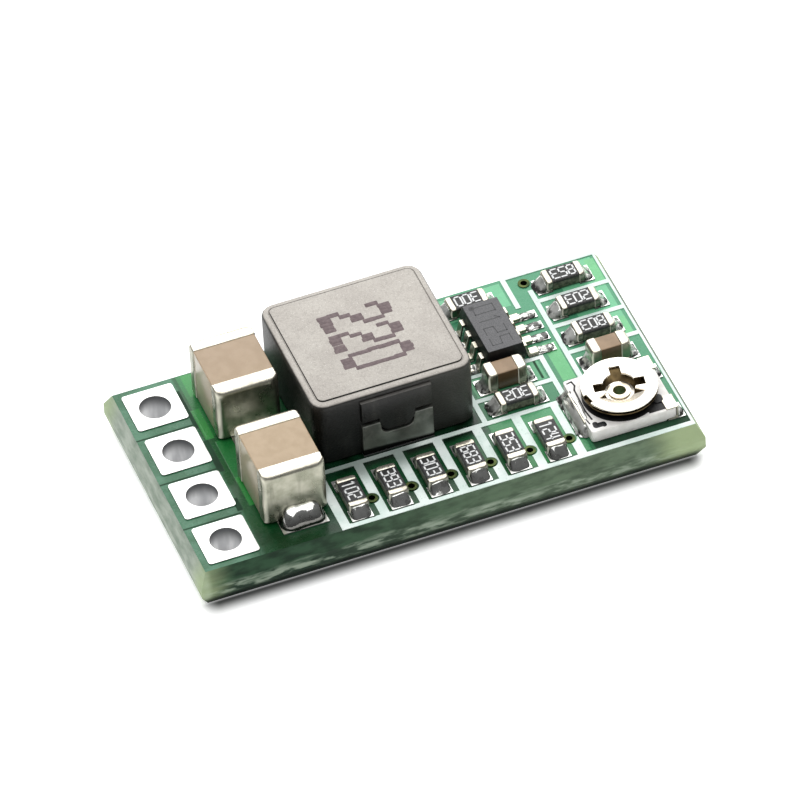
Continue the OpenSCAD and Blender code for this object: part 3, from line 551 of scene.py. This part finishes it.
class Shape:
    """A mesh put together from lofts, in millimetres."""

    def __init__(self, name):
        self.name = name
        self.verts = []
        self.faces = []

    def loft(self, rings, place=Matrix()):
        """Skin over rings of equally many points, closed at both ends."""
        start, n = len(self.verts), len(rings[0])
        self.verts += [tuple(place @ Vector(p)) for ring in rings for p in ring]
        for i in range(len(rings) - 1):
            for k in range(n):
                a, b = start + i * n + k, start + i * n + (k + 1) % n
                self.faces.append((a, b, b + n, a + n))
        self.faces.append(tuple(range(start + n - 1, start - 1, -1)))
        last = start + (len(rings) - 1) * n
        self.faces.append(tuple(range(last, last + n)))

    def stack(self, l, w, r, levels, place=Matrix()):
        """Upright block: each level is (inset, height)."""
        rings = []
        for inset, z in levels:
            round_r = max(r - inset, 0.004)
            rings.append([(x, y, z) for x, y in outline(l - 2 * inset, w - 2 * inset, round_r)])
        self.loft(rings, place)

    def block(self, l, w, h, r, edge, place=Matrix()):
        """Upright block whose edges are all round."""
        turns = [radians(15 * k) for k in range(7)]
        low = [(edge * (1 - sin(a)), edge * (1 - cos(a))) for a in turns]
        high = [(inset, h - z) for inset, z in reversed(low)]
        self.stack(l, w, r, low + high, place)

    def prism(self, points, depth, edge, place=Matrix()):
        """Flat outline in X and Z, depth deep along +Y, with a bevel around its front at y = 0."""
        n = len(points)
        centre = Vector((sum(p[0] for p in points) / n, sum(p[1] for p in points) / n))
        rings = []
        for y, inset in ((depth, 0), (edge, 0), (0.3 * edge, 0.35 * edge), (0, edge)):
            ring = []
            for k, p in enumerate(points):
                before, after = Vector(points[k - 1]), Vector(points[(k + 1) % n])
                here = Vector(p)
                a, b = (here - before).normalized(), (after - here).normalized()
                inward = Vector((-a.y - b.y, a.x + b.x))
                inward = inward.normalized() if inward.length > 1e-6 else (centre - here).normalized()
                q = here + inward * inset
                ring.append((q.x, y, q.y))
            rings.append(ring)
        self.loft(rings, place)

    def stroke(self, line, width, place, height=0.004):
        """A painted line through points in X and Y, with round ends."""
        for p, q in zip(line, line[1:]):
            length = hypot(q[0] - p[0], q[1] - p[1])
            turn = atan2(q[1] - p[1], q[0] - p[0])
            here = at((p[0] + q[0]) / 2, (p[1] + q[1]) / 2) @ Matrix.Rotation(turn, 4, "Z")
            self.stack(length + width, width, width * 0.45, [(0, 0), (0, height)], place @ here)

    def build(self, look, smooth=38, replaces=()):
        """Makes the object, which rides on the soldered module."""
        mesh = bpy.data.meshes.new(self.name)
        mesh.from_pydata([tuple(c * MM for c in v) for v in self.verts], [], self.faces)
        mesh.validate()
        mesh.shade_smooth()
        mesh.set_sharp_from_angle(angle=radians(smooth))
        mesh.materials.append(LOOKS[look])
        thing = bpy.data.objects.new(self.name, mesh)
        scene.collection.objects.link(thing)
        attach(thing, BODY)
        if replaces:
            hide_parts(*replaces)


def spot(node):
    """Where a chip stands: its place, and its length, width and height in millimetres."""
    low, high = (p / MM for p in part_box(node))
    size, middle = high - low, (high + low) / 2
    turn = 90 if size.y > size.x else 0
    return at(middle.x, middle.y, low.z, turn), max(size.x, size.y), min(size.x, size.y), size.z


def wobble(seed, x, y):
    """Smooth lumpiness between -1 and 1."""
    return sin(x * 2.1 + seed) * 0.6 + sin(y * 2.9 + seed * 2.3) * 0.4


def solder(shape, width, foot, rise, place, seed, full, spread=0.1):
    """Solder from a land up an end face at x = 0. full is 0 for a hollow fillet and 1 for a round drop."""
    rings, across, up = [], 16, 10
    in_end, in_land = -0.02, -0.01
    for i in range(across + 1):
        u = -1 + 2 * i / across
        round_off = max(1 - abs(u) ** 3.5, 0.0) ** 0.5
        reach = foot * (0.45 + 0.55 * round_off) * (1 + 0.07 * wobble(seed, u * 2, 0))
        high = rise * (0.35 + 0.65 * round_off) * (1 + 0.06 * wobble(seed, u * 2, 2))
        ring = [(in_end, u * width / 2, in_land)]
        for k in range(up + 1):
            t = k / up * pi / 2
            hollow, drop = (1 - sin(t), 1 - cos(t)), (cos(t), sin(t))
            x = reach * (hollow[0] + (drop[0] - hollow[0]) * full)
            z = high * (hollow[1] + (drop[1] - hollow[1]) * full)
            ring.append((x, u * width / 2 * (1 - spread * sin(t)), z))
        ring.append((in_end, u * width / 2 * (1 - spread), high))
        rings.append(ring)
    shape.loft(rings, place)


def ridge(shape, x0, x1, width, height, place, seed):
    """Rounded solder ridge on a land from x0 to x1, lumpy along its length."""
    rings, along, in_land = [], 16, -0.005
    for i in range(along + 1):
        t = i / along
        tip = max(1 - (2 * t - 1) ** 6, 0.02) ** 0.5
        half = width / 2 * tip * (1 + 0.08 * wobble(seed, t * 6, 1))
        high = height * tip * (0.72 + 0.28 * wobble(seed * 1.7, t * 5, 0))
        x, side = x0 + (x1 - x0) * t, 0.03 * wobble(seed * 0.7, t * 4, 0)
        turns = [radians(a) for a in range(0, 181, 20)]
        rings.append([(x, side - half * cos(a), high * sin(a) + in_land) for a in turns])
    shape.loft(rings, place)


# ------------------------------------------------------------- chip pieces

def end_cups(name, band, edge, look="end_metal"):
    """The two fired metal ends of a chip, roundest at their outer edges."""
    place, l, w, h = spot(name + "_ends")
    cups = Shape(name + "_cups")
    for turn in (0, 180):
        levels = [(0.03, 0.0, 0.05), (0.006, 0.02, 0.07), (0.0, 0.06, 0.08), (0.0, band - edge, 0.1)]
        for a in range(15, 91, 15):
            bend = edge * (1 - cos(radians(a)))
            levels.append((bend, band - edge + edge * sin(radians(a)), 0.1 + 0.8 * edge * sin(radians(a))))
        rings = []
        for inset, x, r in levels:
            ring = outline(w - 2 * inset, h - 2 * inset, min(r, w * 0.4 - inset, h * 0.4 - inset), 6)
            rings.append([(x, y, z + h / 2) for y, z in ring])
        cups.loft(rings, place @ at(turn=turn) @ at(x=l / 2 - band))
    cups.build(look, smooth=60, replaces=[name + "_ends"])
    return place, l, w, h


# resistors 1 to 6 stand in the front row
FRONT_ROW = 6


def resistors():
    """Eleven chips. The front row's solder is full at both ends, the others' only at one."""
    joints = Shape("solder_of_resistors")
    for i in range(1, 12):
        place, l, w, h = end_cups(f"resistor_{i}", 0.27, 0.09, "chip_metal")
        body = Shape(f"resistor_{i}_block")
        body.block(l - 0.44, w - 0.03, h - 0.05, 0.03, 0.02, place @ at(z=0.02))
        body.block(l - 0.5, w - 0.08, 0.08, 0.04, 0.02, place @ at(z=h - 0.088))
        body.build("resistor_body", replaces=[f"resistor_{i}_body"])
        for turn in (0, 180):
            here = place @ at(turn=turn) @ at(x=l / 2)
            if i <= FRONT_ROW:
                full, foot = 0.52, 0.33
            else:
                full, foot = (0.5, 0.43) if turn else (0.3, 0.33)
            full += 0.08 * wobble(i * 1.3, turn, 1)
            solder(joints, w * 0.98, foot, h * 0.84, here, seed=i + turn, full=full, spread=0.05)
    joints.build("solder", smooth=70, replaces=["solder_resistors"])


def ceramic_capacitor(name, look, band, edge):
    """A ceramic block between two metal ends that are band long."""
    place, l, w, h = end_cups(name, band, edge)
    body = Shape(name + "_block")
    body.block(l - 2 * band + 0.1, w - 0.06, h - 0.06, 0.06, 0.05, place @ at(z=0.03))
    body.build(look, replaces=[name + "_body"])
    return place, l, w, h


def capacitors():
    joints = Shape("solder_of_capacitors")
    for k, name in enumerate(("capacitor_front", "capacitor_rear")):
        place, l, w, h = ceramic_capacitor(name, "tan_ceramic", 0.62, 0.25)
        # one tall drop in front of the front one, less solder elsewhere
        for turn in (0, 180):
            here = place @ at(y=-0.14) @ at(turn=turn) @ at(x=l / 2)
            if turn and not k:
                solder(joints, width=1.76, foot=0.6, rise=0.72, place=here, seed=180, full=0.86)
            else:
                solder(joints, width=1.5, foot=0.4, rise=0.35, place=here, seed=k * 3 + turn, full=0.45)
    for k in (1, 2):
        place, l, w, h = ceramic_capacitor(f"small_capacitor_{k}", "brown_ceramic", 0.4, 0.12)
        for turn in (0, 180):
            here = place @ at(turn=turn) @ at(x=l / 2)
            solder(joints, w * 0.95, 0.35, h * 0.55, here, seed=k * 5 + turn, full=0.2)
    joints.build("solder", smooth=70, replaces=["solder_capacitors"])


def regulator_solder():
    """Lumpy ridges along the lands on both sides, and small fillets at the toes on the left."""
    low, high = (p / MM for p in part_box("regulator_leads"))
    joints = Shape("solder_of_regulator")
    lead = 0.34
    pitch = (high.y - low.y - lead) / 3
    for k in range(4):
        y = low.y + lead / 2 + k * pitch
        ridge(joints, -0.05, 0.68, 0.38, 0.13, at(high.x, y, SEAT), seed=k * 2.1)
        solder(joints, lead, 0.12, 0.13, at(low.x, y, SEAT, 180), seed=k, full=0.3)
        ridge(joints, -0.1, 0.42, 0.44, 0.25, at(low.x, y, SEAT), seed=k * 1.3)
    joints.build("solder", smooth=70, replaces=["solder_regulator"])


def trimmer_mark_and_shadow():
    """Dark mark and painted shadow on the base: a mark in its front left corner, and painted shadow on a
    terminal and along its left margin.
    """
    low, high = (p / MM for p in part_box("trimmer_base"))
    face = high.z - 0.002
    paint = Shape("trimmer_base_mark_and_shadow")
    corner = at(low.x + 0.42, low.y + 0.3, face)
    paint.stack(0.52, 0.26, 0.12, [(0, 0), (0.01, 0.004)], corner)
    paint.stack(0.22, 0.32, 0.1, [(0, 0), (0.01, 0.005)], corner @ at(-0.14, 0.06))
    paint.stack(0.2, 0.24, 0.1, [(0, 0), (0.01, 0.006)], corner @ at(0.16, -0.05))
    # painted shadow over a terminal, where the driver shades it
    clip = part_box("trimmer_end_terminals")[1].z / MM - high.z
    shadow_on_terminal = [(0, 0), (0, clip + 0.004), (0.01, clip + 0.006)]
    paint.stack(0.42, 0.46, 0.18, shadow_on_terminal, at(high.x - 0.52, low.y + 0.7, face))
    # painted shadow along the left margin, in the gap by the rotor
    margin = at(low.x, (low.y + high.y) / 2, face)
    shadow_hook = [(0.12, 1.32), (0.3, 1.36), (0.34, 1.12), (0.24, 0.9), (0.2, -0.3), (0.26, -0.8)]
    paint.stroke(shadow_hook, 0.07, margin)
    paint.stroke([(0.06, 0.9), (0.04, -0.6), (0.1, -1.0)], 0.05, margin)
    paint.build("black_track")


def trimmer_solder():
    """Smeared solder up the left side, a ridge on the left edge, and a fillet at each end terminal."""
    low, high = (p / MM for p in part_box("solder_trimmer"))
    base_low, base_high = (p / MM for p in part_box("trimmer_base"))
    joints = Shape("solder_of_trimmer")
    middle = (base_low.y + base_high.y) / 2
    reach = base_low.x - low.x
    here = at(base_low.x, middle, SEAT, 180)
    solder(joints, 2.3, reach, 0.5, here, seed=2.0, full=0.8, spread=0.06)
    solder(joints, 0.9, reach + 0.04, 0.4, here @ at(y=-0.9), seed=5.0, full=0.4)
    solder(joints, 0.8, reach + 0.02, 0.44, here @ at(y=0.7), seed=7.0, full=0.3)
    edge = at(base_low.x + 0.1, middle, base_high.z - 0.01, 90)
    ridge(joints, -0.75, 0.85, 0.2, 0.07, edge, seed=1.0)
    clip_y = (high.y - low.y) / 2 - 0.36
    for side in (-1, 1):
        here = at(base_high.x + 0.06, middle + side * clip_y, SEAT)
        solder(joints, 0.72, high.x - base_high.x - 0.06, 0.35, here, seed=side + 3.0, full=0.3)
    joints.build("smeared_solder", smooth=70, replaces=["solder_trimmer"])


# ---------------------------------------------------------------- inductor

def inductor():
    """Pressed core with a fine groove around its top, and its printed value."""
    low, high = (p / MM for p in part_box("inductor_core"))
    size, middle = high - low, (high + low) / 2
    strap_low, strap_high = (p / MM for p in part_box("inductor_strap_front"))
    strap_thick = 0.15
    depth, h = size.y - 2 * strap_thick, size.z
    base = at(middle.x, middle.y, low.z)
    core = Shape("inductor_block")
    levels = [(0.1, 0.0), (0.03, 0.02), (0.0, 0.08), (0.0, h - 0.3)]
    levels += [(0.16 * (1 - cos(radians(a))), h - 0.22 + 0.16 * sin(radians(a))) for a in range(0, 91, 15)]
    # the fine groove around the top
    levels += [(0.25, h - 0.05), (0.275, h - 0.075), (0.295, h - 0.07), (0.32, h - 0.012), (0.36, h)]
    core.stack(size.x, depth, 0.55, levels, base)
    # the moulded boss above each strap, with a tongue down into the strap's notch
    half = (strap_high.x - strap_low.x) / 2
    strap_h = strap_high.z - low.z
    boss = [(-half, strap_h + 0.2), (-0.72, strap_h + 0.2), (-0.72, strap_h - 0.1), (-0.5, strap_h - 0.42),
            (-0.38, strap_h - 0.48), (0.38, strap_h - 0.48), (0.5, strap_h - 0.42), (0.72, strap_h - 0.1),
            (0.72, strap_h + 0.2), (half, strap_h + 0.2), (half, h - 0.32), (-half, h - 0.32)]
    for turn in (0, 180):
        core.prism(boss, strap_thick + 0.1, 0.04, base @ at(turn=turn) @ at(y=-size.y / 2))
    core.build("pressed_iron", replaces=["inductor_core"])
    marking(base @ at(z=h))


# figures as dots, five wide and seven tall
DOTS = {
    "0": ("01110", "10001", "10001", "10001", "10001", "10001", "01110"),
    "2": ("01110", "10001", "00001", "00110", "01000", "10000", "11111"),
}


def marking(place):
    """Three plain figures in coarse ink dots, upright towards +X and read towards the front."""
    ink = Shape("inductor_figures")
    tall, wide, pitch = 2.7 / 7, 0.185, 1.13
    for k, figure in enumerate("220"):
        for row, dots in enumerate(DOTS[figure]):
            for column, dot in enumerate(dots):
                if dot == "0":
                    continue
                x = 1.2 - row * tall + random.uniform(-0.02, 0.02)
                y = 1.5 - k * pitch - column * wide + random.uniform(-0.02, 0.02)
                long = tall * random.uniform(1.15, 1.35)
                here = place @ at(x - 0.02, y - 0.1, -0.003)
                thick = 0.004 + 0.004 * random.random()
                ink.stack(long, wide * random.uniform(1.1, 1.3), 0.04, [(0, 0), (0.01, thick)], here)
    ink.build("brown_ink")


# --------------------------------------------------------- figures on chips

# figures as strokes, two units wide and four tall
LINES = {
    "0": [[(0, 0), (2, 0), (2, 4), (0, 4), (0, 0)]],
    "1": [[(0.4, 3.2), (1.1, 4), (1.1, 0)]],
    "2": [[(0, 4), (2, 4), (2, 2.1), (0, 1.9), (0, 0), (2, 0)]],
    "3": [[(0, 4), (2, 4), (2, 0), (0, 0)], [(0.5, 2), (2, 2)]],
    "4": [[(0.2, 4), (0, 1.6), (2, 1.6)], [(1.6, 4), (1.6, 0)]],
    "5": [[(2, 4), (0, 4), (0, 2.1), (2, 1.9), (2, 0), (0, 0)]],
    "6": [[(2, 4), (0, 4), (0, 0), (2, 0), (2, 2), (0, 2)]],
    "8": [[(0, 0), (2, 0), (2, 4), (0, 4), (0, 0)], [(0, 2), (2, 2)]],
    "9": [[(0, 0), (2, 0), (2, 4), (0, 4), (0, 2), (2, 2)]],
}


def figures(shape, text, tall, pitch, width, place):
    """Plain figures, centred, upright towards the place's +Y."""
    unit = tall / 4
    for k, figure in enumerate(text):
        x0 = (k - (len(text) - 1) / 2) * pitch - unit
        for line in LINES[figure]:
            points = [(x0 + x * unit * 0.95, (y - 2) * unit) for x, y in line]
            shape.stroke(points, width, place)


def chip_figures():
    """Plain number codes on the resistors and on the regulator."""
    codes = ["102", "393", "303", "683", "353", "124", "302", "300", "803", "203", "853"]
    ink = Shape("resistor_figures")
    for i, code in enumerate(codes, 1):
        place, _, _, h = spot(f"resistor_{i}_ends")
        figures(ink, code, 0.5, 0.33, 0.062, place @ at(z=h - 0.01, turn=180))
    ink.build("white_figures")
    low, high = (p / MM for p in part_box("regulator_body"))
    mark = Shape("regulator_figures")
    top = at((low.x + high.x) / 2, (low.y + high.y) / 2, high.z - 0.002, -90)
    figures(mark, "0125", 0.8, 0.6, 0.045, top)
    mark.stack(0.24, 0.24, 0.12, [(0, 0), (0, 0.003)], top @ at(-1.1, -0.42))
    mark.build("faint_figures")


# -------------------------------------------------------- edges of CAD nodes

# widths of the bevels, in millimetres
EASED = {
    "regulator_leads": 0.03,
    "regulator_body": 0.03,
    "trimmer_base": 0.04,
    "trimmer_end_terminals": 0.02,
    "trimmer_wiper_terminal": 0.02,
    "trimmer_driver": 0.015,
    "inductor_strap_front": 0.03,
    "inductor_strap_rear": 0.03,
}


def ease(node, width):
    """Softens the edges of a CAD node."""
    thing = frame["nodes"][node]
    weld = thing.modifiers.new("weld", "WELD")
    weld.merge_threshold = 0.0005 * MM
    bevel = thing.modifiers.new("bevel", "BEVEL")
    bevel.width = width * MM
    bevel.segments = 2
    bevel.limit_method = "ANGLE"
    bevel.angle_limit = radians(35)
    bevel.harden_normals = False


resistors()
capacitors()
regulator_solder()
trimmer_solder()
trimmer_mark_and_shadow()
inductor()
chip_figures()
for name, width in EASED.items():
    ease(name, width)


# ------------------------------------------------------------- light, floor

def softbox(name, place, width, height, power):
    """A white rectangle of light that faces the object."""
    data = bpy.data.lights.new(name, "AREA")
    data.shape = "RECTANGLE"
    data.size = width
    data.size_y = height
    data.energy = power
    lamp = bpy.data.objects.new(name, data)
    lamp.location = place
    lamp.rotation_euler = (-Vector(place)).to_track_quat("-Z", "Y").to_euler()
    scene.collection.objects.link(lamp)


def surroundings():
    """Two softboxes in a dim grey room."""
    softbox("rear_softbox", (0.10, 0.30, 0.26), width=0.50, height=0.44, power=1.7)
    softbox("top_softbox", (-0.05, -0.05, 0.50), width=0.70, height=0.60, power=2.6)
    world = bpy.data.worlds.new("room")
    world.use_nodes = True
    sky = world.node_tree.nodes["Background"].inputs
    sky["Color"].default_value = (0.62, 0.63, 0.64, 1)
    sky["Strength"].default_value = 0.26
    scene.world = world
    scene.view_settings.view_transform = "Standard"
    floor_with_opening()


def floor_with_opening():
    """White floor, open beneath the board, so that its underside can be seen."""
    reach = 600 * MM
    opening = (9.6 * MM, 4.96 * MM)
    corners = ((-1, -1), (1, -1), (1, 1), (-1, 1))
    points = [(x * reach, y * reach, 0) for x, y in corners]
    points += [(x * opening[0], y * opening[1], 0) for x, y in corners]
    mesh = bpy.data.meshes.new("floor")
    mesh.from_pydata(points, [], [(k, (k + 1) % 4, (k + 1) % 4 + 4, k + 4) for k in range(4)])
    floor = bpy.data.objects.new("floor", mesh)
    look = Look("floor_white", Roughness=0.7, Emission_Strength=0.4)
    # painted contact shadow: darkest in front of the board, where the two meet
    x, y = look.axis("X"), look.axis("Y")
    near = y.step(-6.15, -5.2) * y.step(-5.0, -5.2) * x.size().step(10.3, 9.3)
    white = look.mix(look.noise(0.2, 2), "F7F7F7", "FAFAFA")
    look.set("Base Color", look.mix(near * near * 0.85, white, "1C211D"))
    look.set("Emission Color", look.mix(near, "FFFFFF", "000000"))
    mesh.materials.append(look.material)
    scene.collection.objects.link(floor)


surroundings()
